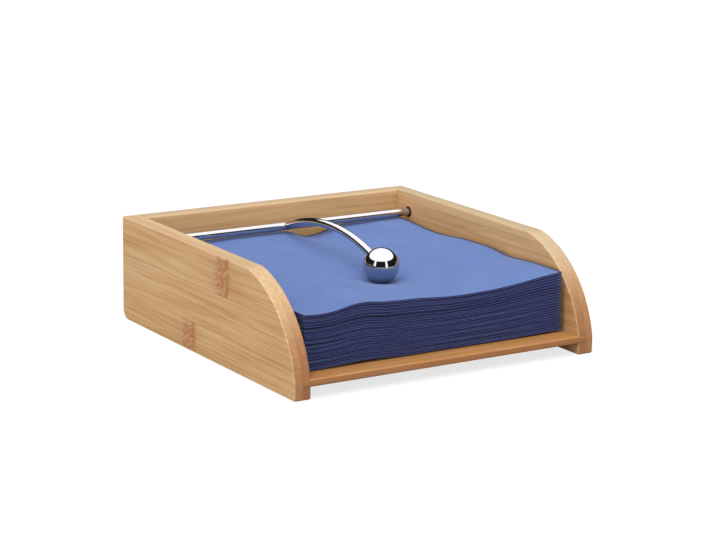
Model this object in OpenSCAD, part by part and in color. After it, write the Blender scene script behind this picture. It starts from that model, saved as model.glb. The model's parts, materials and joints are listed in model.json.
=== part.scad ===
// Open-front wooden napkin tray with a weighted arm that holds the stack down.
//
// The frame: +X is the right-hand side seen from the open front, +Y runs to the
// back and +Z is up. The origin is the middle of the tray's footprint, on the
// surface that it stands on. The modules below are drawn with the front edge at
// y = 0, and placed() moves them into the frame.

/* [Tray] */
// Width over the outer faces of the two sides
tray_w = 190; // [180:1:230]
// Depth from the front edges to the outer face of the back
tray_d = 192; // [185:1:240]
// Height of the sides and of the back
tray_h = 59.5; // [56:0.5:80]
// Thickness of each side board
side_t = 9.8; // [8.5:0.1:12]
// Thickness of the back board
back_t = 10; // [8.5:0.1:12]
// Thickness of the floor board
floor_t = 4; // [3:0.1:6]
// Height of the floor board's underside above the table
floor_lift = 6.5; // [4:0.1:9]

/* [Front curve of the sides] */
// Distance from the front at which the top edge starts to curve down
curve_run = 49; // [35:1:60]
// Height of the upright part of the front edge, below the curve
curve_foot = 9.2; // [6:0.1:14]
// Radius of the curve
curve_r = 63.4; // [55:0.1:90]
// Radius of each side's lower corner at the back
heel_r = 6; // [2:0.5:9]

/* [Joinery] */
// Depth of the housings that the floor board sits in
housing = 4.9; // [3:0.1:6]
// Clearance between boards that are glued together
glue_gap = 0.05; // [0.02:0.01:0.1]
// Diameter of the dowels between the back and the sides
dowel_d = 6; // [4:0.5:7]
// Length of a dowel
dowel_len = 22; // [16:1:30]
// Depth of a dowel's hole in a side
dowel_in_side = 6; // [4:0.5:7]
// Distance of the dowels' axes from the top and bottom edges of the back
dowel_inset = 14; // [12:0.5:18]
// Clearance at the end of each dowel
dowel_end_gap = 0.5; // [0.2:0.1:1]

/* [Rod and bushes] */
// Diameter of the cross rod
rod_d = 4.4; // [3:0.1:6]
// Height of the rod's axis above the table
rod_z = 48.3; // [46:0.1:52]
// Distance from the outer face of the back to the rod's axis
rod_back = 23; // [18:0.5:26]
// Outer diameter of the bush in each side
bush_d = 6.6; // [6.2:0.1:9]
// Depth of a bush in its side
bush_in = 6; // [4:0.5:7]
// Length of bush that stands out of its side
bush_out = 0.3; // [0.2:0.1:2]
// Clearance between the rod and the bore of a bush, on the radius
rod_gap = 0.05; // [0.02:0.01:0.1]
// Clearance between the end of the rod and the bottom of its hole
rod_end_gap = 0.4; // [0.2:0.1:1]
// Chamfer on the ends of the rod
rod_chamfer = 0.4; // [0.1:0.1:1]

/* [Weighted arm] */
// Diameter of the arm's wire
arm_d = 4.4; // [3:0.1:6]
// Radius of the arm's bend, to the middle of the wire
arm_r = 125; // [100:1:180]
// Diameter of the ball
ball_d = 20; // [16:0.5:24]
// Distance from the front to the middle of the ball
ball_front = 67.8; // [55:0.2:85]
// How far the wire goes into the ball, past the ball's middle
arm_past = 2; // [0:0.5:4]
// Clearance of the wire in the ball's hole, which is straight
ball_fit = 0.2; // [0.15:0.05:0.4]
// Clearance between the wire and the rod that it is welded to
weld_gap = 0.03; // [0.01:0.01:0.1]

/* [Napkins] */
// Number of napkins in the stack
napkin_count = 22; // [6:1:22]
// Side of an unfolded square napkin, which is folded in four
napkin_cut = 327; // [300:1:334]
// Thickness that each folded napkin takes in the stack
napkin_step = 1.35; // [1:0.05:1.4]
// Air between one napkin and the next
napkin_air = 0.1; // [0.05:0.05:0.2]
// Gap between the stack and the back board
stack_back = 6; // [2:0.5:10]
// Least gap between the stack and the left-hand side, which it lies nearer to
stack_side = 2; // [0.2:0.1:2.5]
// How far the napkins are out of line with each other
stack_stray = 0.4; // [0:0.1:0.8]
// How far the ball presses the stack down
press = 5; // [2:0.1:6]
// Height of the ridge in the left half of the stack's top
ridge = 2.8; // [0:0.1:4]
// Rise of the stack's top at its right-hand edge
edge_rise = 4; // [0:0.1:4.5]
// Clearance under the ball, between the loose top napkin and the stack, and under the stack
loose_gap = 0.3; // [0.2:0.05:0.5]

/* [Hidden] */
$fn = 96;
eps = 0.01;
golden_angle = 137.5;

inner_w = tray_w - 2 * side_t;
back_y = tray_d - back_t;
floor_top = floor_lift + floor_t;
floor_w = inner_w + 2 * housing;

rod_y = tray_d - rod_back;
rod_half = inner_w / 2 + bush_in - rod_end_gap;
bush_bore = rod_d / 2 + rod_gap;

// The napkins, lying one on the other on the floor
napkin_w = napkin_cut / 2;
stack_x = -inner_w / 2 + stack_side + stack_stray + napkin_w / 2;
stack_y = back_y - stack_back - napkin_w;
stack_foot = floor_top + loose_gap;
stack_top = stack_foot + napkin_count * napkin_step;

// The ball rests on the pressed middle of the stack
ball_r = ball_d / 2;
ball_z = stack_top - press + loose_gap + ball_r;

// Shape of the stack's top across the tray, in shares of a napkin's width: a channel
// for the ball, a ridge left of it and a rise at the right-hand edge
channel_to_ball = 0.9;
channel_share = channel_to_ball * ball_d / napkin_w;
channel_place_share = -stack_x / napkin_w;
ridge_share = 0.06;
ridge_place_share = -0.26;
edge_share = 0.12;
edge_place_share = 0.5;
profile_count = 36;

// Name of the k-th napkin from the bottom
function napkin_name(k) = str("napkin_", k < 10 ? "0" : "", k);

// A smooth hump of height 1 at c, and of half-width w
function hump(x, c, w) = exp(-pow((x - c) / w, 2));

// Centre to the right of the way from p to q, at rp from p and at rq from q
function right_centre(p, rp, q, rq) =
    let (
        d = norm(q - p),
        u = (q - p) / d,
        along = (rp * rp - rq * rq + d * d) / (2 * d),
        aside = sqrt(rp * rp - along * along)
    )
    p + along * u + aside * [u[1], -u[0]];

// Height of the stack's top above the table, at a share s of a napkin's width from the middle
function top_height(s) =
    stack_top
    - press * hump(s, channel_place_share, channel_share)
    + ridge * hump(s, ridge_place_share, ridge_share)
    + edge_rise * hump(s, edge_place_share, edge_share);

// Height of the k-th boundary between napkins: each napkin takes its share of the height
function layer_height(k, s) =
    stack_foot + (top_height(s) - stack_foot) * k / napkin_count;

module placed() {
    translate([0, -tray_d / 2, 0]) children();
}

// Extrudes a shape drawn in y and z, from x to x + t
module across(x, t) {
    translate([x, 0, 0]) rotate([90, 0, 90]) linear_extrude(t) children();
}

// A cylinder along X, from x to x + t, about the axis at y and z
module along_x(x, t, r, y, z) {
    translate([x, y, z]) rotate([0, 90, 0]) cylinder(h = t, r = r);
}

// Outline of a side: a rectangle with a curved front corner and a round heel
module side_outline() {
    curve_c = right_centre([0, curve_foot], curve_r, [curve_run, tray_h], curve_r);
    difference() {
        square([tray_d, tray_h]);
        difference() {
            translate([-eps, curve_foot]) square([curve_run + eps, tray_h]);
            translate(curve_c) circle(curve_r, $fn = 360);
        }
        difference() {
            translate([tray_d - heel_r, -eps]) square([heel_r + eps, heel_r + eps]);
            translate([tray_d - heel_r, heel_r]) circle(heel_r);
        }
    }
}

// Heights of the dowels' axes above the table
function dowel_heights() = [floor_lift + dowel_inset, tray_h - dowel_inset];

// One side. hand is -1 on the left and 1 on the right
module side(hand) {
    inner = inner_w / 2;
    color("burlywood") placed() mirror([hand < 0 ? 1 : 0, 0, 0]) difference() {
        across(inner, side_t) side_outline();
        translate([inner - eps, -eps, floor_lift - glue_gap])
            cube([housing + glue_gap + eps, back_y + housing + glue_gap + eps, floor_t + 2 * glue_gap]);
        along_x(inner - eps, bush_in + eps, bush_d / 2 + glue_gap, rod_y, rod_z);
        for (z = dowel_heights())
            along_x(inner - eps, dowel_in_side + eps, dowel_d / 2 + glue_gap, back_y + back_t / 2, z);
    }
}

module left_side() {
    side(-1);
}

module right_side() {
    side(1);
}

// The back, between the sides and clear of the table, with a rebate for the floor along
// its lower edge and dowel holes in its ends
module back_board() {
    half = inner_w / 2 - glue_gap;
    hole = dowel_len - dowel_in_side + 2 * dowel_end_gap;
    color("burlywood") placed() difference() {
        translate([-half, back_y, floor_lift]) cube([2 * half, back_t, tray_h - floor_lift]);
        translate([-half - eps, back_y - eps, floor_lift - eps])
            cube([2 * half + 2 * eps, housing + glue_gap + eps, floor_t + glue_gap + eps]);
        for (z = dowel_heights(), x = [-half - eps, half - hole])
            along_x(x, hole + eps, dowel_d / 2 + glue_gap, back_y + back_t / 2, z);
    }
}

// The floor, housed in both sides and in the back, and flush with the sides at the front
module floor_board() {
    color("tan") placed()
        translate([-floor_w / 2, 0, floor_lift])
            cube([floor_w, back_y + housing, floor_t]);
}

// Four dowels, hidden in the ends of the back
module dowels() {
    tip = inner_w / 2 + dowel_in_side - dowel_end_gap;
    color("wheat") placed()
        for (z = dowel_heights(), x = [-tip, tip - dowel_len])
            along_x(x, dowel_len, dowel_d / 2, back_y + back_t / 2, z);
}

// A plain bush in one side, for the end of the rod
module bush(hand) {
    inner = inner_w / 2;
    color("dimgray") placed() mirror([hand < 0 ? 1 : 0, 0, 0]) difference() {
        along_x(inner - bush_out, bush_out + bush_in - glue_gap, bush_d / 2, rod_y, rod_z);
        along_x(inner - bush_out - eps, bush_out + bush_in + 2 * eps, bush_bore, rod_y, rod_z);
    }
}

module left_bush() {
    bush(-1);
}

module right_bush() {
    bush(1);
}

// The rod that the arm is welded to. It turns in the bushes
module pivot_rod() {
    color("silver") placed() translate([0, rod_y, rod_z]) rotate([0, 90, 0])
        rotate_extrude()
            polygon([
                [0, -rod_half],
                [rod_d / 2 - rod_chamfer, -rod_half],
                [rod_d / 2, -rod_half + rod_chamfer],
                [rod_d / 2, rod_half - rod_chamfer],
                [rod_d / 2 - rod_chamfer, rod_half],
                [0, rod_half]
            ]);
}

// The arm's bend, in y and z: its middle, and the angles of the points along it
function bend_centre() = right_centre([ball_front, ball_z], arm_r, [rod_y, rod_z], arm_r);
function bend_angle(p) = atan2(p[1] - bend_centre()[1], p[0] - bend_centre()[0]);
function bend_turn(length) = length / arm_r * 180 / PI;

// The arm: one bend of round wire, from the rod that it is welded to into the ball
module arm_wire() {
    centre = bend_centre();
    start = bend_angle([rod_y, rod_z]);
    end = bend_angle([ball_front, ball_z]) + bend_turn(arm_past);
    color("silver") placed() difference() {
        translate([0, centre[0], centre[1]]) rotate([90, 0, 90]) rotate([0, 0, start])
            rotate_extrude(angle = end - start) translate([arm_r, 0]) circle(arm_d / 2);
        along_x(-arm_d, 2 * arm_d, rod_d / 2 + weld_gap, rod_y, rod_z);
    }
}

// The ball that holds the napkins down. Its hole follows the middle of the wire's end
module weight_ball() {
    centre = bend_centre();
    buried = ball_r + arm_past;
    middle = bend_angle([ball_front, ball_z]) + bend_turn(arm_past - buried / 2);
    color("silver") placed() difference() {
        translate([0, ball_front, ball_z]) sphere(ball_r);
        translate([0, centre[0], centre[1]]) rotate([middle, 0, 0]) translate([0, arm_r, 0])
            translate([0, 0, -buried])
                cylinder(h = buried + buried / 2 + ball_fit, r = arm_d / 2 + ball_fit);
    }
}

// The k-th napkin from the bottom, as the space that it takes in the stack. Its edges
// stray, and what lies between them keeps the form of the stack
module napkin(k) {
    last = profile_count;
    stray_share = stack_stray * sin(k * golden_angle) / napkin_w;
    stray_y = stack_stray * cos(k * golden_angle);
    shares = [for (i = [0:last]) i / last - 0.5 + (i == 0 || i == last ? stray_share : 0)];
    under = k == 1 ? 0 : k == napkin_count ? loose_gap : napkin_air;
    color(k == napkin_count ? "cornflowerblue" : "royalblue") placed()
        translate([stack_x, stack_y + napkin_w + stray_y, 0]) rotate([90, 0, 0])
            linear_extrude(napkin_w)
                polygon(concat(
                    [for (s = shares) [s * napkin_w, layer_height(k - 1, s) + under]],
                    [for (i = [last:-1:0]) [shares[i] * napkin_w, layer_height(k, shares[i])]]
                ));
}

left_side();
right_side();
back_board();
floor_board();
dowels();
left_bush();
right_bush();
pivot_rod();
arm_wire();
weight_ball();
for (k = [1:napkin_count]) {
    napkin(k);
}
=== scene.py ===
"""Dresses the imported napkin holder: bamboo boards, a chromed arm and a stack of folded paper napkins.

Every place is in metres in the frame of the CAD model: +X to the right seen from the open front, +Y to the
back, +Z up, and the origin in the middle of the tray's footprint.
"""

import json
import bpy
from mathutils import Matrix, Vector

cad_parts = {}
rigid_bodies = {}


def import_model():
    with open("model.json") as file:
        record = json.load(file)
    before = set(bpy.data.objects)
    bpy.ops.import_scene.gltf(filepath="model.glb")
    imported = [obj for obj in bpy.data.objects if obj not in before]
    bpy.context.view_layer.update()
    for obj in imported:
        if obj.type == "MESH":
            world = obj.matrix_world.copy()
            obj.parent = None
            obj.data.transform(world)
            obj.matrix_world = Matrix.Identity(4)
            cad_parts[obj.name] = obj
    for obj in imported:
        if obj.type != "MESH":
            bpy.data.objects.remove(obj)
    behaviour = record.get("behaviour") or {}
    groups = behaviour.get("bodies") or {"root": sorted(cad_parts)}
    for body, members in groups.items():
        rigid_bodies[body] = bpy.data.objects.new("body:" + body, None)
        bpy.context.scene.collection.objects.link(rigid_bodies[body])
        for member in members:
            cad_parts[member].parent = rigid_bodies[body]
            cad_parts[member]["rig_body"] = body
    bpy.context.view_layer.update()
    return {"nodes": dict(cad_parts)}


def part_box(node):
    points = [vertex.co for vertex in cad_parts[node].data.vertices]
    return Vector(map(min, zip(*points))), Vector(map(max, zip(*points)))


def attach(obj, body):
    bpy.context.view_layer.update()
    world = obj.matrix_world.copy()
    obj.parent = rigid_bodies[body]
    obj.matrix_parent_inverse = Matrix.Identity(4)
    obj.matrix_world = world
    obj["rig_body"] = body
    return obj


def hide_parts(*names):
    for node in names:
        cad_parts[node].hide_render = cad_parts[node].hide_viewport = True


bl_info = {
    "name": "Napkin Holder",
    "version": (1, 0, 0),
    "blender": (4, 5, 0),
    "location": "View3D > Sidebar > Napkin Holder",
    "description": "Bamboo napkin tray with a weighted chrome arm and a stack of folded napkins",
    "category": "Object",
}

from math import cos, pi, radians, sin

import bmesh
import bpy
import numpy as np
from bpy.props import FloatProperty, FloatVectorProperty, PointerProperty
from mathutils import Matrix

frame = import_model()

MM = 0.001
NAPKINS = sorted(name for name in frame["nodes"] if name.startswith("napkin_"))


# -------------------------------------------------------------------------------- settings


def length(name, description, default):
    return FloatProperty(
        name=name, description=description, default=default, unit="LENGTH", subtype="DISTANCE", precision=5
    )


def colour(name, description, default):
    return FloatVectorProperty(
        name=name, description=description, default=default, size=3, subtype="COLOR", min=0.0, max=1.0
    )


def angle(name, description, default):
    return FloatProperty(
        name=name, description=description, default=radians(default), unit="ROTATION", subtype="ANGLE"
    )


def number(name, description, default):
    return FloatProperty(name=name, description=description, default=default)


class BoardSettings(bpy.types.PropertyGroup):
    ease: length("Eased edges", "Radius of the sanded edges of the boards", 1.0 * MM)
    curve_run: length("Curve run", "Distance from the front at which a side starts to curve down", 49 * MM)
    curve_foot: length("Curve foot", "Height of the upright part of a side's front edge", 9.2 * MM)
    curve_radius: length("Curve radius", "Radius of the front curve of a side", 63.4 * MM)
    heel_radius: length("Heel radius", "Radius of a side's lower corner at the back", 6 * MM)
    clearance: length("Clearance", "Clearance round what is glued into a board", 0.05 * MM)
    strip_width: length("Strip width", "Width of the bamboo strips in the boards", 21.4 * MM)
    pale: colour("Pale bamboo", "Colour of the palest strips", (0.590, 0.360, 0.170))
    honey: colour("Honey bamboo", "Colour of the darker strips and streaks", (0.470, 0.246, 0.095))
    # Painted highlight: a paler colour laid on the boards' upper edges for the gleam of the light overhead
    rim_painted_light: colour("Pale rims", "Colour of the boards' upper edges", (0.395, 0.320, 0.195))
    brown: colour("End grain", "Colour of the ends of the strips", (0.290, 0.112, 0.040))
    knuckle: colour("Knuckles", "Colour of the marks where the cane had its joints", (0.370, 0.128, 0.046))


class WireSettings(bpy.types.PropertyGroup):
    bend_radius: length("Bend radius", "Radius of the arm's bend, to the middle of the wire", 125 * MM)
    past: length("Past the middle", "How far the wire goes into the ball, past the ball's middle", 2 * MM)
    ball_fit: length("Fit in the ball", "Clearance of the wire in the ball's hole", 0.2 * MM)
    weld: length("Weld", "Height of the fillet where the wire meets the rod", 0.35 * MM)
    chrome: colour("Chrome", "Colour of the plating", (0.54, 0.53, 0.55))
    rubber: colour("Bushes", "Colour of the bushes in the sides", (0.022, 0.018, 0.017))


class NapkinSettings(bpy.types.PropertyGroup):
    cut: length("Napkin", "Side of an unfolded napkin, which is folded in four", 327 * MM)
    ply: length("Paper", "Thickness of the paper", 0.2 * MM)
    layer: length("Layer", "Distance between the middles of a napkin's layers at its folds", 0.4 * MM)
    stray: number("Stray", "Share of the CAD model's stray that the paper keeps", 0.4)
    lean: length("Lean", "How far the lowest napkin lies to the right of the top one", 2.2 * MM)
    overhang: length("Overhang", "How far the napkins above the widest gap stand forward", 0.9 * MM)
    mesh_step: length("Mesh step", "Distance between the points of a napkin's mesh", 4 * MM)
    dent: length("Dent", "How deep the ball presses into the stack", 5.3 * MM)
    dent_reach: length("Dent reach", "Distance from the ball at which the dent is a third as deep", 20 * MM)
    paper: colour("Paper colour", "Colour of the paper", (0.088, 0.157, 0.378))
    paper_deep: colour("Deep paper colour", "Colour of the paper's hollows", (0.064, 0.120, 0.312))
    # Painted shade: where a fold faces out, a darker copy of the paper, as if less lit
    paper_nose_shade: colour("Fold colour", "Colour of the paper where a fold faces out", (0.060, 0.073, 0.255))
    # Painted shadow: a near-black colour for the shade in the grooves between the folds
    paper_groove_shadow: colour("Groove colour", "Colour of the grooves between the folds", (0.0010, 0.0022, 0.040))


class StageSettings(bpy.types.PropertyGroup):
    azimuth: angle("Azimuth", "Turn of the camera round the tray, from the front to the right", -32.64)
    elevation: angle("Elevation", "Height of the camera, as an angle", 13.51)
    roll: angle("Roll", "Turn of the camera about its own axis", 0.954)
    distance: length("Distance", "Distance from the camera to the point that it looks at", 1245.1 * MM)
    aim_right: length("Aim right", "How far to the right of the origin the camera looks", 3.19 * MM)
    aim_up: length("Aim up", "How far above the origin the camera looks", 36.27 * MM)
    lens: number("Lens", "Focal length on a 36 mm sensor, in millimetres", 111.62)
    floor_size: length("Floor", "Side of the square floor", 12.0)
    floor_colour: colour("Floor colour", "Colour of the floor", (0.94, 0.94, 0.94))
    floor_bounce: number("Floor bounce", "Share of its light that the floor throws back", 0.33)
    floor_shadow: number("Floor shadow", "Share of the floor's colour that takes shadows", 0.22)
    floor_glow: number("Floor glow", "Brightness of the floor in full shadow", 0.80)
    overhead: number("Overhead light", "Strength of the large light overhead", 2.3)
    overhead_spread: angle("Overhead spread", "Angle that the light overhead covers", 64)
    overhead_height: angle("Overhead height", "Height of the light overhead, as an angle", 74)
    room: number("Room light", "Strength of the light from all round", 0.45)
    fill: number("Fill light", "Strength of the light from the front and the left", 1.45)
    fill_azimuth: angle("Fill azimuth", "Direction of the fill light, from the front to the right", -53)


# --------------------------------------------------------------------------------- shading


class Signal:
    """One output of a shader node. Arithmetic on it adds Math nodes."""

    def __init__(self, graph, socket):
        self.graph, self.socket = graph, socket

    def __add__(self, other):
        return self.graph.math("ADD", self, other)

    def __sub__(self, other):
        return self.graph.math("SUBTRACT", self, other)

    def __rsub__(self, other):
        return self.graph.math("SUBTRACT", other, self)

    def __mul__(self, other):
        return self.graph.math("MULTIPLY", self, other)

    def __truediv__(self, other):
        return self.graph.math("DIVIDE", self, other)

    def __abs__(self):
        return self.graph.math("ABSOLUTE", self)

    __radd__, __rmul__ = __add__, __mul__


class Graph:
    """The node tree of a material or world, written as expressions."""

    def __init__(self, owner):
        owner.use_nodes = True
        self.tree = owner.node_tree
        self.tree.nodes.clear()

    def add(self, kind, settings=None, sockets=None):
        """One node of any kind: its settings are set first, and then its sockets get values or links."""
        node = self.tree.nodes.new(kind)
        for key, value in (settings or {}).items():
            setattr(node, key, value)
        for key, value in (sockets or {}).items():
            if isinstance(value, Signal):
                self.tree.links.new(value.socket, node.inputs[key])
            else:
                node.inputs[key].default_value = value
        return node

    def signal(self, kind, settings=None, sockets=None, output=0):
        return Signal(self, self.add(kind, settings, sockets).outputs[output])

    def math(self, operation, *values):
        return self.signal("ShaderNodeMath", {"operation": operation}, dict(enumerate(values)))

    def limited(self, value, low=0.0, high=1.0):
        return self.signal("ShaderNodeClamp", None, {"Value": value, "Min": low, "Max": high})

    def step(self, value, low, high):
        """0 below low, 1 above high and smooth between them. It falls where low is above high."""
        sockets = {"Value": value, "From Min": low, "From Max": high}
        return self.signal("ShaderNodeMapRange", {"interpolation_type": "SMOOTHSTEP"}, sockets)

    def parts(self, vector):
        """The three parts of a vector."""
        split = self.add("ShaderNodeSeparateXYZ", None, {0: vector})
        return [Signal(self, output) for output in split.outputs]

    def place(self):
        """The place on the object, as a vector and as its three parts."""
        whole = self.signal("ShaderNodeTexCoord", None, None, "Object")
        return whole, self.parts(whole)

    def vector(self, x, y, z):
        return self.signal("ShaderNodeCombineXYZ", None, {0: x, 1: y, 2: z})

    def noise(self, vector, scale=1.0, detail=2.0, roughness=0.5):
        sockets = {"Vector": vector, "Scale": scale, "Detail": detail, "Roughness": roughness}
        return self.signal("ShaderNodeTexNoise", None, sockets)

    def mix(self, factor, first, second):
        """The first colour where factor is 0 and the second where it is 1."""
        plain = [value if isinstance(value, Signal) else (*value, 1.0) for value in (first, second)]
        settings = {"data_type": "RGBA", "clamp_factor": False}
        return self.signal("ShaderNodeMix", settings, {0: factor, 6: plain[0], 7: plain[1]}, 2)

    def bump(self, height, strength, distance):
        sockets = {"Height": height, "Strength": strength, "Distance": distance}
        return self.signal("ShaderNodeBump", None, sockets)

    def facing(self):
        """The three parts of the surface's normal, in the object's own frame."""
        return self.parts(self.signal("ShaderNodeTexCoord", None, None, "Normal"))

    def surface(self, sockets):
        shader = self.signal("ShaderNodeBsdfPrincipled", None, sockets, "BSDF")
        self.add("ShaderNodeOutputMaterial", None, {"Surface": shader})


def new_material(name):
    material = bpy.data.materials.new(name)
    return material, Graph(material)


class Lay:
    """How a board is pressed from bamboo strips.

    axes are those along the strips, across them and through the board. start is where the first strip and
    the first layer begin, and thickness is that of a layer. layers holds for each layer its offset and its
    strips, each a tone from 0, pale, to 1, honey, and the place of its knuckle along the grain, if it has
    one. rim_painted_light is a colour painted on the faces that face across the strips, with its share: a
    painted highlight on the upper edges of the sides and the back, and painted shade on the floor's front
    edge. outer is the layer with the paler ends.
    """

    def __init__(self, seed, axes, start, thickness, layers, rim_painted_light, outer=0):
        self.seed, self.axes, self.start, self.thickness = seed, axes, start, thickness
        self.layers, self.rim_painted_light, self.outer = layers, rim_painted_light, outer


def bamboo(name, lay, look):
    """Pressed bamboo. Fibres are noise that is stretched along the grain, and each strip has its own tone. A
    knuckle is a band across one strip, with ragged edges, slanting flecks and a darker line along each side.
    Faces that cut the grain are browner."""
    material, g = new_material(name)
    parts = g.place()[1]
    along, across, through = (parts[axis] for axis in lay.axes)
    layer = g.math("FLOOR", g.limited((through - lay.start[1]) / lay.thickness, 0.01, len(lay.layers) - 0.01))

    nowhere = 9.0
    tone, knuckle_place, offset = 0.0, nowhere, 0.0
    for index, (shift, _) in enumerate(lay.layers):
        offset = offset + g.math("COMPARE", layer, index, 0.5) * shift
    strip_place = (across - lay.start[0] + offset) / look.strip_width
    strip = g.math("FLOOR", strip_place)
    number = layer * 10 + strip
    for index, (_, strips) in enumerate(lay.layers):
        for order, (strip_tone, knuckle) in enumerate(strips):
            here = g.math("COMPARE", number, index * 10 + order, 0.5)
            tone = tone + here * strip_tone
            if knuckle is not None:
                knuckle_place = knuckle_place + here * (knuckle - nowhere)

    drift = number * 3.7 + lay.seed
    fibre = g.noise(g.vector(along * 15 + drift, across * 640, through * 640), 1.0, 3.0, 0.65)
    streak = g.noise(g.vector(along * 9 + drift, across * 330, through * 330), 1.0, 3.0, 0.55)
    cloud = g.noise(g.vector(along * 16, across * 45, through * 45 + drift), 1.0, 2.0, 0.5)
    shade = tone + (streak - 0.5) * 1.6 + (fibre - 0.5) * 3.6 + (cloud - 0.5) * 0.9

    within = g.math("FRACT", strip_place)
    seam = g.step(abs(within - 0.5), 0.484, 0.498)
    glue_line = g.step(abs(through - (lay.start[1] + lay.thickness)), 0.30 * MM, 0.05 * MM)
    wood = g.mix(g.limited(shade, -0.3, 1.6), look.pale, look.honey)
    wood = g.mix(seam * 0.30, wood, look.brown)

    normal = g.facing()
    facing = [abs(normal[axis]) for axis in lay.axes]
    on_face = g.step(facing[2], 0.4, 0.9)

    ragged = g.noise(g.vector(along * 90 + drift, across * 480, through * 480), 1.0, 3.0, 0.65)
    from_knuckle = along - knuckle_place + (ragged - 0.5) * (7 * MM)
    band = g.step(abs(from_knuckle), 9.5 * MM, 4.5 * MM) * on_face
    flecks = g.noise(g.vector((along + across) * 420, across * 420 + drift, through * 160), 1.0, 2.0, 0.6)
    side = 4.4 * MM
    strong = g.step(abs(from_knuckle + side), 2.6 * MM, 0.6 * MM)
    faint = g.step(abs(from_knuckle - side), 2.2 * MM, 0.6 * MM)
    mark = band * g.limited((flecks - 0.45) * 5.0 + 0.22 + (strong + faint * 0.3) * 0.60)
    halo = g.step(abs(along - knuckle_place), 22 * MM, 6 * MM) * on_face
    wood = g.mix(halo * 0.20, wood, look.honey)
    wood = g.mix(mark * 0.80, wood, look.knuckle)

    # Painted light on the faces across the strips: a painted highlight on the upper edges of the sides and
    # the back, painted shade on the floor's front edge
    painted_rim_colour, painted_rim_share = lay.rim_painted_light
    wood = g.mix(g.step(facing[1], 0.30, 0.95) * painted_rim_share, wood, painted_rim_colour)
    cut = g.step(facing[0], 0.50, 1.0)
    pores = g.noise(g.vector(along * 60, across * 160, through * 1500 + drift), 1.0, 2.0, 0.5)
    depth = 0.86 - g.math("COMPARE", layer, lay.outer, 0.5) * 0.14
    wood = g.mix(cut * g.limited(depth + (pores - 0.5) * 0.5), wood, look.brown)
    wood = g.mix(glue_line * (0.30 + cut * 0.35), wood, look.brown)

    g.surface(
        {
            "Base Color": wood,
            "Roughness": 0.40 + fibre * 0.22 + cut * 0.1,
            "Normal": g.bump(fibre * 0.7 + streak * 0.3 - mark * 0.5, 0.22, 0.25 * MM),
            "Specular IOR Level": 0.42,
        }
    )
    return material


def chrome(name, tint):
    """Polished chrome plate, whose gloss wanders a little where fingers have been."""
    material, g = new_material(name)
    whole, _ = g.place()
    smear = g.noise(whole, 160.0, 3.0, 0.6)
    pits = g.noise(whole, 2400.0, 1.0, 0.5)
    g.surface(
        {
            "Base Color": (*tint, 1.0),
            "Metallic": 1.0,
            "Roughness": 0.035 + g.step(smear, 0.45, 0.75) * 0.05,
            "Normal": g.bump(pits, 0.03, 0.02 * MM),
        }
    )
    return material


def moulded(name, tint):
    """Matt moulded plastic with a fine even grain."""
    material, g = new_material(name)
    whole, _ = g.place()
    grain = g.noise(whole, 3000.0, 2.0, 0.5)
    g.surface(
        {
            "Base Color": g.mix(grain * 0.4, tint, [min(1.0, part * 2.0) for part in tint]),
            "Roughness": 0.5 + grain * 0.2,
            "Normal": g.bump(grain, 0.15, 0.05 * MM),
        }
    )
    return material


def beech(name):
    """Plain turned dowel wood, with its grain along X."""
    material, g = new_material(name)
    _, (x, y, z) = g.place()
    grain = g.noise(g.vector(x * 30, y * 900, z * 900), 1.0, 3.0, 0.6)
    g.surface(
        {
            "Base Color": g.mix(grain, (0.62, 0.45, 0.29), (0.48, 0.31, 0.17)),
            "Roughness": 0.6 + grain * 0.15,
            "Normal": g.bump(grain, 0.2, 0.1 * MM),
        }
    )
    return material


def crepe_paper(name, look):
    """Dyed tissue. Its crepe is noise that is stretched from side to side, over small pressed dimples. Faces
    that point sideways, at the folds, get painted shade: a darker copy of the paper where a fold faces
    straight out, and near-black painted shadow in the grooves above and below it."""
    material, g = new_material(name)
    whole, (x, y, z) = g.place()
    crepe = g.noise(g.vector(x * 500, y * 1500, z * 1500), 1.0, 3.0, 0.6)
    fluff = g.noise(whole, 900.0, 3.0, 0.65)
    cloud = g.noise(whole, 42.0, 2.0, 0.5)
    dimple = g.signal(
        "ShaderNodeTexVoronoi", {"feature": "SMOOTH_F1"}, {"Vector": whole, "Scale": 780.0, "Smoothness": 0.6}
    )
    shade = (crepe - 0.5) * 1.8 + (fluff - 0.5) * 2.0 + (cloud - 0.5) * 1.2 + 0.4
    _, ahead, up = g.facing()
    # edge marks the faces that point sideways, at the folds: they take painted shade instead of the paper
    # colour
    edge = g.step(up, 0.975, 0.90) * g.step(up, -0.985, -0.94)
    flat = g.mix(g.limited(shade), look.paper, look.paper_deep)
    # nose picks the lighter painted shade where a fold faces straight out and near-black painted shadow
    # elsewhere; folds on the stack's left and right sides get only 0.4 of the lighter one
    nose = g.step(abs(up), 0.42, 0.12) * (g.step(abs(ahead), 0.3, 0.7) * 0.6 + 0.4)
    fold = g.mix(nose, look.paper_groove_shadow, look.paper_nose_shade)
    g.surface(
        {
            "Base Color": g.mix(edge, flat, fold),
            "Roughness": 0.88 + fluff * 0.1,
            "Normal": g.bump((crepe * 0.6 + fluff * 0.3 + dimple * 0.35) * (1 - edge * 0.7), 0.35, 0.12 * MM),
            "Specular IOR Level": 0.2,
            "Sheen Weight": 0.12,
            "Sheen Roughness": 0.6,
        }
    )
    return material


# ---------------------------------------------------------------------------------- meshes


def grid_faces(rows, columns, closed=False):
    """Quads of a grid of points that is stored row by row. closed joins the last column to the first."""
    row = np.arange(rows - 1)[:, None] * columns
    column = np.arange(columns if closed else columns - 1)[None, :]
    beside = (column + 1) % columns
    quads = np.stack([row + column, row + beside, row + columns + beside, row + columns + column], -1)
    return quads.reshape(-1, 4)


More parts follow.
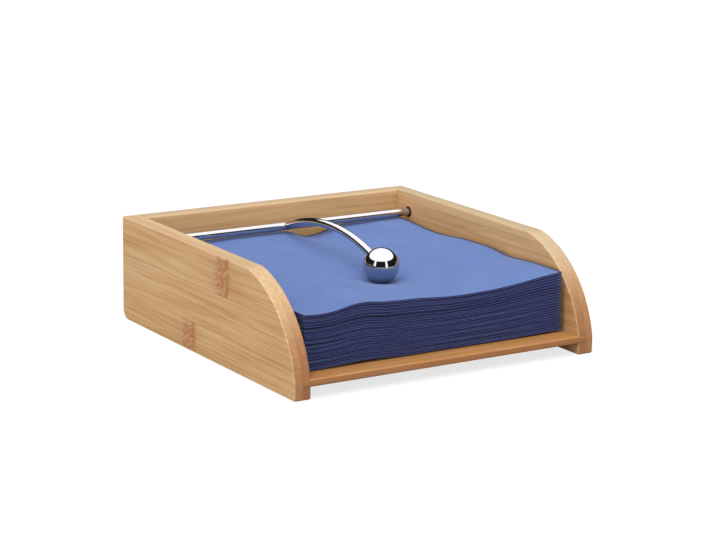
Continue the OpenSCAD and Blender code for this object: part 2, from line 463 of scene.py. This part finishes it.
def mesh_object(name, points, faces, flat_faces=()):
    """A mesh object at the origin. faces are shaded smooth, and flat_faces, such as a board's ends, flat."""
    mesh = bpy.data.meshes.new(name)
    every = [list(map(int, face)) for face in (*faces, *flat_faces)]
    mesh.from_pydata(np.asarray(points, float).reshape(-1, 3).tolist(), [], every)
    smooth = np.zeros(len(every), bool)
    smooth[: len(faces)] = True
    mesh.polygons.foreach_set("use_smooth", smooth)
    mesh.update()
    piece = bpy.data.objects.new(name, mesh)
    bpy.context.scene.collection.objects.link(piece)
    return piece


def dress(piece, material, body, node):
    """Gives a piece its material and lets it stand for a CAD node, on the body that the node rides on."""
    piece.data.materials.clear()
    piece.data.materials.append(material)
    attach(piece, body)
    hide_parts(node)
    return piece


def arc(centre, radius, start, end, steps):
    """Points on a circular arc, with angles in degrees from the first axis."""
    turn = np.radians(np.linspace(start, end, steps + 1))
    return np.stack([centre[0] + radius * np.cos(turn), centre[1] + radius * np.sin(turn)], -1)


def arc_centre(first, second, radius):
    """Middle of an arc between two points: it lies square to the middle of their chord, on the right-hand
    side of the way from the first to the second, at the root of radius^2 - (chord / 2)^2."""
    half = (second - first) / 2
    across = np.array([half[1], -half[0]]) / np.linalg.norm(half)
    return first + half + across * (radius**2 - half @ half) ** 0.5


def prism(outline, low, high, ease_low=None, ease_high=None, steps=4):
    """Rings and ends of a board: an outline in y and z, counter-clockwise seen from +X, carried along x.

    At each face the outline goes round a quarter circle: at an angle a it is in by ease * (1 - cos a), along
    the outline's own normals, and back from the face by ease * (1 - sin a). ease is a number for each point,
    and a face without one stays sharp.
    """
    ways = (np.roll(outline, -1, 0) - outline, outline - np.roll(outline, 1, 0))
    normal = [np.stack([way[:, 1], -way[:, 0]], -1) / np.linalg.norm(way, axis=1)[:, None] for way in ways]
    inward = -(normal[0] + normal[1]) / (1 + (normal[0] * normal[1]).sum(1))[:, None]
    rings = []
    for face, side, ease in ((low, 1, ease_low), (high, -1, ease_high)):
        if ease is None:
            round_in = back = np.zeros((1, 1))
        else:
            turn = np.linspace(pi / 2, 0, steps + 1)[::side, None]
            round_in, back = ease * (1 - np.cos(turn)), ease * (1 - np.sin(turn))
        place = outline[None] + round_in[..., None] * inward[None]
        x = face + side * back + np.zeros(place.shape[:2])
        rings.append(np.concatenate([x[..., None], place], -1))
    points = np.concatenate(rings)
    rows, columns = points.shape[:2]
    ends = [np.arange(columns)[::-1], np.arange(columns) + (rows - 1) * columns]
    return points, grid_faces(rows, columns, closed=True), ends


def box_cutter(low, high):
    """A closed box for cutting."""
    corner = np.array(np.meshgrid(*zip(low, high), indexing="ij")).reshape(3, -1).T
    return corner, [(0, 1, 3, 2), (4, 6, 7, 5), (0, 4, 5, 1), (2, 3, 7, 6), (0, 2, 6, 4), (1, 5, 7, 3)]


def bore_cutter(start, end, radius, y, z, sides=64):
    """A closed cylinder along X for cutting."""
    ring = arc((y, z), radius, 0, 360 * (1 - 1 / sides), sides - 1)
    points, faces, ends = prism(ring, min(start, end), max(start, end))
    return points.reshape(-1, 3), [*faces, *ends]


def carve(piece, cutters):
    """Cuts closed cutters out of a board, keeps the result as the board's own mesh, and shades it."""
    points, faces, count = [], [], 0
    for corner, sides in cutters:
        points.append(corner)
        faces += [[int(index) + count for index in side] for side in sides]
        count += len(corner)
    merge_points(piece)
    tool = mesh_object("cutter", np.concatenate(points), [], faces)
    cut = piece.modifiers.new("carve", "BOOLEAN")
    cut.operation, cut.solver, cut.object = "DIFFERENCE", "MANIFOLD", tool
    graph = bpy.context.evaluated_depsgraph_get()
    carved = bpy.data.meshes.new_from_object(piece.evaluated_get(graph))
    piece.modifiers.clear()
    piece.data = carved
    bpy.data.objects.remove(tool)
    return shade(piece)


def mend(piece, work):
    """Does some work on a piece's mesh with bmesh."""
    shape = bmesh.new()
    shape.from_mesh(piece.data)
    work(shape)
    shape.to_mesh(piece.data)
    shape.free()


def merge_points(piece):
    """Joins points of a piece that lie in one place."""
    mend(piece, lambda shape: bmesh.ops.remove_doubles(shape, verts=shape.verts, dist=0.01 * MM))


def fix_normals(piece):
    """Points the faces of a piece outwards."""
    mend(piece, lambda shape: bmesh.ops.recalc_face_normals(shape, faces=shape.faces))


def shade(piece):
    """Smooth shading with sharp lines where faces meet at more than 30 degrees, and large faces flat."""
    piece.data.polygons.foreach_set("use_smooth", np.ones(len(piece.data.polygons), bool))
    piece.data.set_sharp_from_angle(angle=radians(30))
    flat = piece.modifiers.new("shading", "WEIGHTED_NORMAL")
    flat.keep_sharp = True
    return piece


def lathe(profile, origin, axis, sides, closed=False):
    """A profile of distances along an axis and from it, turned about the axis. closed joins its two ends."""
    axis = np.asarray(axis, float) / np.linalg.norm(axis)
    side = np.cross(axis, (0.0, 0.0, 1.0) if abs(axis[2]) < 0.9 else (1.0, 0.0, 0.0))
    side /= np.linalg.norm(side)
    other = np.cross(axis, side)
    turn = np.linspace(0, 2 * pi, sides, endpoint=False)
    round_axis = np.cos(turn)[:, None] * side + np.sin(turn)[:, None] * other
    profile = np.asarray(profile, float)
    if closed:
        profile = np.concatenate([profile, profile[:1]])
    points = origin + profile[:, None, :1] * axis + profile[:, None, 1:] * round_axis[None]
    faces = grid_faces(len(profile), sides, closed=True)[:, ::-1]
    if closed:
        faces = np.where(faces >= (len(profile) - 1) * sides, faces - (len(profile) - 1) * sides, faces)
        points = points[:-1]
    return points, faces


def edges(name):
    """The lowest and highest corner of a CAD node, as arrays."""
    low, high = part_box(name)
    return np.array(low), np.array(high)


# ---------------------------------------------------------------------------------- boards


def side_outline(look):
    """Outline of a side in y and z: straight edges, the front curve, the round heel and eased corners. Points
    stand close together at the curve's ends, where the edge turns a little."""
    low, high = edges("left_side")
    front, back, top, ease = low[1], high[1], high[2], look.ease
    foot, crest = np.array([front, look.curve_foot]), np.array([front + look.curve_run, top])
    centre = arc_centre(foot, crest, look.curve_radius)
    start, end = (np.degrees(np.arctan2(*(point - centre)[::-1])) for point in (crest, foot))
    seat = edges("back_board")[0]
    near = 0.2 * MM
    heel = look.heel_radius
    return np.concatenate(
        [
            arc((front + ease, ease), ease, 180, 270, 5),
            arc((back - heel, heel), heel, -90, 0, 12),
            [[back, seat[2]], [back, seat[2] + near]],
            arc((back - ease, top - ease), ease, 0, 90, 5),
            [[seat[1] + near, top], [seat[1], top], crest + [near, 0]],
            arc(centre, look.curve_radius, start, end % 360, 48),
            [foot - [0, near]],
        ]
    )


def make_side(name, hand, look):
    """A side: its outline with eased faces, less the floor's housing, the bush's hole and the dowels' holes.
    Where the back is glued against it, its inner edge stays sharp."""
    low, high = edges(name)
    outline = side_outline(look)
    seat, floor = edges("back_board")[0], edges("floor_board")
    rod, bush = edges("pivot_rod"), edges(name.replace("side", "bush"))
    glued = (outline[:, 0] >= seat[1]) & (outline[:, 1] > seat[2])
    sharp = 0.02 * MM
    plain, fitted = np.full(len(outline), look.ease), np.where(glued, sharp, look.ease)
    points, faces, ends = prism(outline, low[0], high[0], *((plain, fitted) if hand < 0 else (fitted, plain)))
    piece = mesh_object(name + "_bamboo", points, faces, ends)

    gap, out = look.clearance, 1 * MM
    inner = high[0] if hand < 0 else low[0]
    deep = hand * (floor[1][0] + gap)
    x = sorted((inner - hand * out, deep))
    groove = box_cutter((x[0], low[1] - out, floor[0][2] - gap), (x[1], floor[1][1] + gap, floor[1][2] + gap))
    axis_y, axis_z = (rod[0] + rod[1])[1:] / 2
    bush_end = max(abs(bush[0][0]), abs(bush[1][0])) * hand
    bush_radius = (bush[1][2] - bush[0][2]) / 2
    cutters = [groove, bore_cutter(inner - hand * out, bush_end, bush_radius + gap, axis_y, axis_z)]
    deep = hand * (edges("dowels")[1][0] + gap)
    return carve(piece, cutters + dowel_cutters(inner - hand * out, deep, gap))


def dowel_cutters(start, end, gap):
    """Cutters for the two dowels at one end of the back."""
    low, high = edges("dowels")
    radius = (high[1] - low[1]) / 2
    heights = (low[2] + radius, high[2] - radius)
    return [bore_cutter(start, end, radius + gap, low[1] + radius, z, 32) for z in heights]


def make_back(look):
    """The back: a board between the sides, its long edges eased, with a rebate for the floor at its foot."""
    low, high = edges("back_board")
    floor = edges("floor_board")[1]
    ease, gap = look.ease, look.clearance
    outline = np.concatenate(
        [
            [[floor[1] + gap, low[2]]],
            arc((high[1] - ease, low[2] + ease), ease, -90, 0, 5),
            arc((high[1] - ease, high[2] - ease), ease, 0, 90, 5),
            arc((low[1] + ease, high[2] - ease), ease, 90, 180, 5),
            [[low[1], floor[2] + gap], [floor[1] + gap, floor[2] + gap]],
        ]
    )
    points, faces, ends = prism(outline, low[0], high[0])
    outside, inside = high[0] + 1 * MM, high[0] - 17 * MM
    cutters = dowel_cutters(-outside, -inside, gap) + dowel_cutters(outside, inside, gap)
    return carve(mesh_object("back_board_bamboo", points, faces, ends), cutters)


def make_floor(look):
    """The floor: a thin board whose front edge is eased above and below."""
    low, high = edges("floor_board")
    ease = look.ease
    outline = np.concatenate(
        [
            arc((low[1] + ease, low[2] + ease), ease, 180, 270, 6),
            [[high[1], low[2]], [high[1], high[2]]],
            arc((low[1] + ease, high[2] - ease), ease, 90, 180, 6),
        ]
    )
    points, faces, ends = prism(outline, low[0], high[0])
    return shade(mesh_object("floor_board_bamboo", points, faces, ends))


class NAPKIN_HOLDER_OT_boards(bpy.types.Operator):
    """Makes the four bamboo boards with eased edges, and finishes the dowels"""

    bl_idname = "napkin_holder.boards"
    bl_label = "Boards and dowels"

    def execute(self, context):
        look = context.scene.napkin_holder_boards
        low, high = edges("left_side")
        bottom = high[2] - 3 * look.strip_width
        inner = edges("right_side")[0][0]
        back, floor = edges("back_board"), edges("floor_board")[0]
        half = (high[0] - low[0]) / 2
        board_half = (back[1][1] - back[0][1]) / 2
        left = (
            (0.0, ((0.32, 16 * MM), (0.20, None), (0.28, -21.5 * MM))),
            (8 * MM, ((0.95, 60 * MM), (0.75, None), (0.35, None), (0.10, 40 * MM))),
        )
        right = (
            (5 * MM, ((0.95, None), (0.65, -40 * MM), (0.15, None), (-0.20, None))),
            (0.0, ((0.60, -93 * MM), (0.50, 30 * MM), (0.25, -60 * MM))),
        )
        rear = (
            (3 * MM, ((0.25, None), (0.10, 70 * MM), (0.20, None), (0.15, None))),
            (0.0, ((0.45, -30 * MM), (0.40, 55 * MM), (0.50, -62 * MM))),
        )
        slats = tuple((1.40 + 0.25 * sin(2.1 * order), 0.08 * sin(5.0 * order)) for order in range(1, 11))
        lays = {
            "left_side": Lay(4.0, (1, 2, 0), (bottom, low[0]), half, left, (look.rim_painted_light, 0.42)),
            "right_side": Lay(11.0, (1, 2, 0), (bottom, inner), half, right, (look.rim_painted_light, 0.75), 1),
            "back_board": Lay(23.0, (0, 2, 1), (bottom, back[0][1]), board_half, rear, (look.rim_painted_light, 0.65)),
            "floor_board": Lay(
                31.0,
                (0, 1, 2),
                (floor[1] - 8 * MM, floor[2] - 1 * MM),
                20 * MM,
                ((0.0, slats),),
                # The floor's front edge takes the end-grain brown at 0.6 as painted shade
                (look.brown, 0.6),
            ),
        }
        pieces = {
            "left_side": make_side("left_side", -1, look),
            "right_side": make_side("right_side", 1, look),
            "back_board": make_back(look),
            "floor_board": make_floor(look),
        }
        for name, piece in pieces.items():
            dress(piece, bamboo(name + "_finish", lays[name], look), "tray", name)
        dowels = frame["nodes"]["dowels"]
        dowels.data.materials.clear()
        dowels.data.materials.append(beech("dowel_beech"))
        return {"FINISHED"}


# ------------------------------------------------------------------------------------- arm


class NAPKIN_HOLDER_OT_arm(bpy.types.Operator):
    """Makes the bushes, the rod, the bent wire and the ball"""

    bl_idname = "napkin_holder.arm"
    bl_label = "Rod, arm and ball"

    def execute(self, context):
        look = context.scene.napkin_holder_wire
        plate = chrome("chrome_plate", look.chrome)
        rod = self.make_rod(plate)
        self.make_bushes(moulded("bush_plastic", look.rubber))
        self.make_wire(look, plate, rod)
        return {"FINISHED"}

    def make_rod(self, plate):
        """A plain rod with chamfered ends, turned about its axis."""
        low, high = edges("pivot_rod")
        radius, middle = (high[2] - low[2]) / 2, (low + high) / 2
        half, chamfer = (high[0] - low[0]) / 2, 0.4 * MM
        profile = [
            (-half, 0.001 * MM),
            (-half, radius - chamfer),
            (-half + chamfer, radius),
            (half - chamfer, radius),
            (half, radius - chamfer),
            (half, 0.001 * MM),
        ]
        points, faces = lathe(profile, middle, (1, 0, 0), 64)
        piece = shade(mesh_object("rod_chromed", points, faces))
        dress(piece, plate, "arm", "pivot_rod")
        return middle, radius

    def make_bushes(self, plastic):
        """Two rings with rounded rims."""
        rod_low, rod_high = edges("pivot_rod")
        for hand, name in ((-1, "left_bush"), (1, "right_bush")):
            low, high = edges(name)
            outer, bore = (high[2] - low[2]) / 2, (rod_high[2] - rod_low[2]) / 2 + 0.05 * MM
            start, end = (low[0], high[0]) if hand > 0 else (high[0], low[0])
            ease, long = 0.3 * MM, abs(end - start)
            lip = arc((ease, outer - ease), ease, 180, 90, 5)
            inner_lip = arc((ease, bore + ease), ease, 270, 180, 5)
            profile = np.concatenate([lip, [[long, outer], [long, bore]], inner_lip])
            origin = np.array([start, *((low + high) / 2)[1:]])
            points, faces = lathe(profile, origin, (hand, 0, 0), 64, closed=True)
            piece = mesh_object(name + "_moulded", points, faces)
            dress(piece, plastic, "tray", name)

    def make_wire(self, look, plate, rod):
        """The wire is a tube along one arc, from the rod's surface into the ball, thicker at the weld by
        weld * exp(-distance / fade). The ball is turned about the line of the wire where it enters."""
        ball_low, ball_high = edges("weight_ball")
        ball, ball_radius = (ball_low + ball_high) / 2, (ball_high[2] - ball_low[2]) / 2
        rod_middle, rod_radius = rod
        wire_low, wire_high = edges("arm_wire")
        wire_radius = (wire_high[0] - wire_low[0]) / 2

        start, end = rod_middle[1:], ball[1:]
        centre = arc_centre(end, start, look.bend_radius)
        turn_rod, turn_ball = (np.arctan2(*(point - centre)[::-1]) for point in (start, end))
        turn_end = turn_ball + look.past / look.bend_radius

        sides = 48
        round_wire = np.linspace(0, 2 * pi, sides, endpoint=False)
        fine = np.linspace(turn_rod, turn_end, 4001)
        reach = look.bend_radius + wire_radius * np.cos(round_wire)
        y = centre[0] + reach[None] * np.cos(fine)[:, None]
        z = centre[1] + reach[None] * np.sin(fine)[:, None]
        sunk, fade = 0.02 * MM, 0.45 * MM
        clear = np.hypot(y - start[0], z - start[1]) > rod_radius - sunk
        first = fine[clear.argmax(0)]
        weld = np.linspace(0, 0.04, 12, endpoint=False)
        share = np.concatenate([weld, np.linspace(0.04, 1, 90)])[:, None]
        turn = first + (turn_end - first) * share
        away = (turn - first) * -look.bend_radius
        thick = wire_radius + look.weld * np.exp(-np.abs(away) / fade)
        spread = look.bend_radius + thick * np.cos(round_wire)
        points = np.stack(
            [
                thick * np.sin(round_wire),
                centre[0] + spread * np.cos(turn),
                centre[1] + spread * np.sin(turn),
            ],
            -1,
        )
        cap = np.arange(sides)[::-1] + (len(share) - 1) * sides
        piece = mesh_object("arm_wire_chromed", points, grid_faces(len(share), sides, closed=True), [cap])
        fix_normals(piece)
        dress(piece, plate, "arm", "arm_wire")

        buried = ball_radius + look.past
        middle = turn_ball + (look.past - buried / 2) / look.bend_radius
        way = np.array([0.0, np.sin(middle), -np.cos(middle)])
        hole = wire_radius + look.ball_fit
        mouth = (ball_radius**2 - hole**2) ** 0.5
        opening = np.degrees(np.arctan2(hole, mouth))
        shell = arc((0, 0), ball_radius, opening, 179.95, 96)
        bottom = -look.past - look.ball_fit
        wall = np.linspace([bottom, hole], [mouth, hole], 12)[1:-1]
        profile = np.concatenate([[[bottom, 0.001 * MM], [bottom, hole]], wall, shell])
        points, faces = lathe(profile, ball, way, 128)
        piece = mesh_object("weight_ball_chromed", points, faces)
        fix_normals(piece)
        dress(piece, plate, "arm", "weight_ball")


# --------------------------------------------------------------------------------- napkins

# Heights of the stack's top in millimetres: along its front and back edges from left to right, along its
# right-hand and left-hand edges from front to back, and between them
FRONT_EDGE = ((-84, 41.2), (-72, 40.6), (-63, 41.3), (-55, 42.8), (-46, 43.5), (-36, 42.4), (-14, 41.6),
              (8, 40.3), (24, 40.3), (47, 41.0), (58, 41.8), (70, 43.2), (82, 44.7))
BACK_EDGE = ((-84, 41.8), (-70, 42.6), (-55, 43.8), (-30, 44.3), (-10, 44.2), (0, 44.0), (6, 42.8),
             (11, 40.7), (17, 39.4), (25, 40.4), (35, 43.4), (60, 44.3), (82, 44.6))
RIGHT_EDGE = ((-84, 44.0), (-73, 45.0), (-65, 45.6), (-55, 45.0), (-46, 43.8), (-38, 43.5), (-27, 44.7),
              (-18, 45.5), (-6, 45.1), (8, 44.9), (22, 43.8), (36, 42.8), (50, 42.9), (64, 44.2), (82, 44.6))
LEFT_EDGE = ((-84, 41.2), (-77, 40.1), (-69, 40.3), (-40, 42.0), (0, 41.2), (40, 42.3), (82, 41.8))
LEVEL = 41.2

WIDEST_GAP = 17  # the number of the napkin under it, from the bottom


def curve_through(x, knots):
    """Smooth curve through knots: each stretch is a cubic with the knots' heights and slopes at its ends."""
    at, height = np.array(knots, float).T * MM
    slope = np.gradient(height, at)
    index = np.clip(np.searchsorted(at, x) - 1, 0, len(at) - 2)
    wide = (at[1:] - at[:-1])[index]
    t = np.clip((x - at[index]) / wide, 0, 1)
    rise = 3 * t**2 - 2 * t**3
    return (
        height[index] * (1 - rise)
        + height[index + 1] * rise
        + wide * slope[index] * (t**3 - 2 * t**2 + t)
        + wide * slope[index + 1] * (t**3 - t**2)
    )


def hump(x, middle, width):
    """exp(-((x - middle) / width)^2): 1 in the middle, and a third at the width."""
    return np.exp(-(((x - middle) / width) ** 2))


def fall(x, middle, width):
    """1 / (1 + exp((x - middle) / width)): from 1 down to 0, or up from 0 where width is negative."""
    return 1 / (1 + np.exp((x - middle) / width))


def stack_top(x, y, look, ball):
    """Height of the stack's top: its level, the waves of its four edges, which fade inwards as a hump does, a
    swell, the dent under the ball and the valley from there to the back."""
    half, level, long, short = look.cut / 4, LEVEL * MM, 46 * MM, 26 * MM
    front = (curve_through(x, FRONT_EDGE) - level) * hump(y, -half, long)
    back = (curve_through(x, BACK_EDGE) - level) * hump(y, half, long)
    right = (curve_through(y, RIGHT_EDGE) - level) * hump(x, half, short)
    left = (curve_through(y, LEFT_EDGE) - level) * hump(x, -half, short)
    corner = hump(np.maximum(0, half - np.abs(x)), 0, short) * hump(np.maximum(0, half - np.abs(y)), 0, long)
    swell = 0.5 * MM * np.sin(x / (21 * MM) + y / (37 * MM)) * np.sin(y / (29 * MM) - 0.6)
    dent = look.dent * hump(np.hypot(x - ball[0], y - ball[1]), 0, look.dent_reach)
    along = np.clip((y + 10 * MM) / half, 0, 1)
    valley = 1.7 * MM * along * hump(x, -15 * MM + 0.22 * y, 17 * MM) * (1 - hump(y, half, 20 * MM))
    waves = front + back + (right + left) * (1 - 0.85 * corner)
    return level + waves + swell * (1 - corner) - dent - valley


def stack_foot(x, y, floor_top):
    """Height of the stack's underside: it lies on the floor, and lifts a little along the front."""
    clear = 0.25 * MM
    lift = 0.9 * MM * hump(x, -46 * MM, 15 * MM) + 0.6 * MM * hump(x, 85 * MM, 25 * MM) + 0.35 * MM
    return floor_top + clear + lift * hump(y, -82.5 * MM, 20 * MM)


def air_above(order, x):
    """Air between a napkin and the next, in shares of a napkin: a little everywhere, and a few gaps that open
    up, most of them towards the left."""
    left, wide, corner = fall(x, -58 * MM, 5 * MM), fall(x, 5 * MM, 16 * MM), fall(x, 75 * MM, -2 * MM)
    open_gaps = {
        WIDEST_GAP: 0.20 + 0.85 * wide + 0.20 * left + 0.40 * corner,
        13: 0.10 + 0.35 * hump(x, -38 * MM, 40 * MM),
        12: 0.08 + 0.35 * hump(x, 60 * MM, 18 * MM),
        11: 0.08 + 1.20 * left,
    }
    return open_gaps.get(order, 0.07 + (0.18 * wide if order > WIDEST_GAP else 0.0)) + np.zeros_like(x)


def napkin_points(order, look, ball, floor_top):
    """Points of the napkin of that order from the bottom: a square sheet that is folded in four.

    The sheet has a coordinate s from side to side and t from front to back. It folds at s = 0 along the
    left-hand edge, and then both layers fold together at t = 0 along the front. At a fold of radius r the
    paper turns by the angle s / r: its place goes as the cosine of that angle and its level as the sine. The
    outer of the two layers turns at three times the radius of the inner one. The level picks a height between
    the napkin's underside and top, which are shares of the height of the stack.
    """
    half, last = look.cut / 2, len(NAPKINS)
    spacing = look.layer
    outer = 1.5 * spacing
    turn = np.linspace(0, pi / 2 * outer, 7)
    ramp = turn[-1] + np.array([0.4, 1.0, 2.0]) * MM
    flat = np.linspace(ramp[-1], half, int(half / look.mesh_step) + 1)[1:]
    one_way = np.concatenate([turn, ramp, flat])
    grid = np.concatenate([-one_way[:0:-1], one_way])
    s, t = np.meshgrid(grid, grid, indexing="ij")

    side_radius = spacing / 2
    side_turn = np.clip(s / side_radius, -pi / 2, pi / 2)
    side_level = np.sin(side_turn)
    x = side_radius * (1 - np.cos(side_turn)) + np.maximum(0, np.abs(s) - side_radius * pi / 2)
    radius = spacing * (1 + 0.5 * side_level)
    front_turn = np.clip(t / radius, -pi / 2, pi / 2)
    y = outer - radius * np.cos(front_turn) + np.maximum(0, np.abs(t) - radius * pi / 2)
    level = np.sin(front_turn) * (1 + 0.5 * side_level) / 1.5

    corners = np.array([edges(name)[0] for name in NAPKINS])
    start = corners.mean(0) + (corners[order - 1] - corners.mean(0)) * look.stray
    x = x + start[0] + look.lean * (last - order) / (last - 1)
    wobble = 0.12 * MM * np.sin(x / (17 * MM) + 2.4 * order) + 0.06 * MM * np.sin(x / (6.5 * MM) + order)
    forward = look.overhang if order > WIDEST_GAP else 0.0
    y = y + start[1] - forward + wobble * np.exp(-y / (30 * MM))

    loft = np.linspace(0.92, 1.08, last)
    air = np.array([air_above(step, x) for step in range(1, last)])
    total = loft.sum() + air.sum(0)
    under = (loft[: order - 1].sum() + air[: order - 1].sum(0)) / total
    over = under + loft[order - 1] / total
    foot, top = stack_foot(x, y, floor_top), stack_top(x, y, look, ball)
    bottom_side, top_side = foot + (top - foot) * under, foot + (top - foot) * over
    inset = look.ply / 2
    z = (bottom_side + top_side) / 2 + level * ((top_side - bottom_side) / 2 - inset)
    return np.stack([x, y, z], -1)


class NAPKIN_HOLDER_OT_napkins(bpy.types.Operator):
    """Makes the stack of napkins, each a square of paper folded in four"""

    bl_idname = "napkin_holder.napkins"
    bl_label = "Napkins"

    def execute(self, context):
        look = context.scene.napkin_holder_napkins
        paper = crepe_paper("crepe_paper", look)
        ball_low, ball_high = edges("weight_ball")
        ball = (ball_low + ball_high) / 2
        floor_top = edges("floor_board")[1][2]
        for order, node in enumerate(NAPKINS, 1):
            points = napkin_points(order, look, ball, floor_top)
            count = points.shape[0]
            piece = mesh_object(node + "_paper", points, grid_faces(count, count))
            thickness = piece.modifiers.new("paper", "SOLIDIFY")
            thickness.thickness, thickness.offset = look.ply, 0.0
            dress(piece, paper, frame["nodes"][node]["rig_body"], node)
        return {"FINISHED"}


# ----------------------------------------------------------------------------------- stage


class NAPKIN_HOLDER_OT_stage(bpy.types.Operator):
    """Sets up the pale floor, the soft light and the camera"""

    bl_idname = "napkin_holder.stage"
    bl_label = "Stage, light and camera"

    def execute(self, context):
        look = context.scene.napkin_holder_stage
        self.make_floor(look)
        self.make_light(context, look)
        self.make_room(context, look)
        self.make_camera(context, look)
        context.scene.view_settings.view_transform = "Standard"
        context.scene.view_settings.look = "None"
        return {"FINISHED"}

    def make_floor(self, look):
        half = look.floor_size / 2
        side = np.linspace(-half, half, 9)
        x, y = np.meshgrid(side, side)
        floor = mesh_object("studio_floor", np.stack([x, y, 0 * x], -1), grid_faces(9, 9))
        material, g = new_material("studio_paper")
        whole, _ = g.place()
        mottle = g.noise(whole, 6.0, 2.0, 0.5)
        seen = Signal(g, g.add("ShaderNodeLightPath").outputs["Is Camera Ray"])
        pale = look.floor_colour
        tint = g.mix(mottle * 0.03, pale, [part * 0.9 for part in pale])
        shadow = [part * look.floor_shadow for part in pale]
        g.surface(
            {
                "Base Color": g.mix(seen, [part * look.floor_bounce for part in pale], shadow),
                "Roughness": 0.9,
                "Emission Color": g.mix(seen, (0.0, 0.0, 0.0), tint),
                "Emission Strength": look.floor_glow,
            }
        )
        floor.data.materials.append(material)

    def make_light(self, context, look):
        """One large soft light overhead, on the camera's side."""
        lamp = bpy.data.lights.new("overhead_light", "SUN")
        lamp.energy, lamp.angle = look.overhead, look.overhead_spread
        sun = bpy.data.objects.new("overhead_light", lamp)
        sun.rotation_euler = (pi / 2 - look.overhead_height, 0, look.azimuth)
        context.scene.collection.objects.link(sun)

    def make_room(self, context, look):
        """A pale room that is brighter at the front and the left. What gloss reflects of it is bright
        overhead and dark below, apart from two upright lights either side of the camera."""
        world = bpy.data.worlds.new("studio_room")
        context.scene.world = world
        g = Graph(world)
        x, y, z = g.parts(g.signal("ShaderNodeTexCoord", None, None, "Generated"))
        lit = (sin(look.fill_azimuth), -cos(look.fill_azimuth))
        soft = look.room + g.math("MAXIMUM", x * lit[0] + y * lit[1], 0.0) * look.fill
        back = (sin(look.azimuth), -cos(look.azimuth))
        across = x * -back[1] + y * back[0]
        toward = x * back[0] + y * back[1]
        bearing = g.math("ARCTAN2", across, toward)
        strips = g.step(abs(abs(bearing + radians(4)) - radians(39)), radians(8.5), radians(5.5))
        sky = g.step(z - toward * 0.11, 0.51, 0.56)
        gleam = 0.02 + g.math("MAXIMUM", strips, sky) * 1.82
        path = g.add("ShaderNodeLightPath")
        glossy = Signal(g, path.outputs["Is Glossy Ray"])
        seen = Signal(g, path.outputs["Is Camera Ray"])
        strength = soft * (1 - glossy) + gleam * glossy
        strength = strength * (1 - seen) + seen
        background = g.signal("ShaderNodeBackground", None, {"Color": (1, 1, 1, 1), "Strength": strength})
        g.add("ShaderNodeOutputWorld", None, {"Surface": background})

    def make_camera(self, context, look):
        """A camera on a sphere round the tray, rolled about its own axis."""
        a, e, roll = look.azimuth, look.elevation, look.roll
        back = np.array([sin(a) * cos(e), -cos(a) * cos(e), sin(e)])
        level = np.cross((0, 0, 1), back)
        level /= np.linalg.norm(level)
        up = np.cross(back, level)
        right, up = cos(roll) * level + sin(roll) * up, cos(roll) * up - sin(roll) * level
        place = look.aim_right * right + look.aim_up * up + look.distance * back
        lens = bpy.data.cameras.new("camera")
        lens.lens, lens.sensor_width, lens.clip_start, lens.clip_end = look.lens, 36.0, 0.05, 50.0
        camera = bpy.data.objects.new("camera", lens)
        camera.matrix_world = Matrix((*np.stack([right, up, back, place], -1).tolist(), (0, 0, 0, 1)))
        context.scene.collection.objects.link(camera)
        context.scene.camera = camera


# ---------------------------------------------------------------------------------- add-on

OPERATORS = (NAPKIN_HOLDER_OT_boards, NAPKIN_HOLDER_OT_arm, NAPKIN_HOLDER_OT_napkins, NAPKIN_HOLDER_OT_stage)
SETTINGS = {
    "napkin_holder_boards": BoardSettings,
    "napkin_holder_wire": WireSettings,
    "napkin_holder_napkins": NapkinSettings,
    "napkin_holder_stage": StageSettings,
}


class NAPKIN_HOLDER_PT_panel(bpy.types.Panel):
    """Lists the pieces and their settings"""

    bl_label = "Napkin Holder"
    bl_idname = "NAPKIN_HOLDER_PT_panel"
    bl_space_type = "VIEW_3D"
    bl_region_type = "UI"
    bl_category = "Napkin Holder"

    def draw(self, context):
        for operator, name in zip(OPERATORS, SETTINGS):
            box = self.layout.box()
            box.operator(operator.bl_idname)
            settings = getattr(context.scene, name)
            for key in SETTINGS[name].__annotations__:
                box.prop(settings, key)


def register():
    for kind in (*SETTINGS.values(), *OPERATORS, NAPKIN_HOLDER_PT_panel):
        bpy.utils.register_class(kind)
    for name, kind in SETTINGS.items():
        setattr(bpy.types.Scene, name, PointerProperty(type=kind))


def unregister():
    for name in SETTINGS:
        delattr(bpy.types.Scene, name)
    for kind in (NAPKIN_HOLDER_PT_panel, *reversed(OPERATORS), *SETTINGS.values()):
        bpy.utils.unregister_class(kind)


def main():
    register()
    bpy.ops.napkin_holder.stage()
    bpy.ops.napkin_holder.boards()
    bpy.ops.napkin_holder.arm()
    bpy.ops.napkin_holder.napkins()


if __name__ == "__main__":
    main()
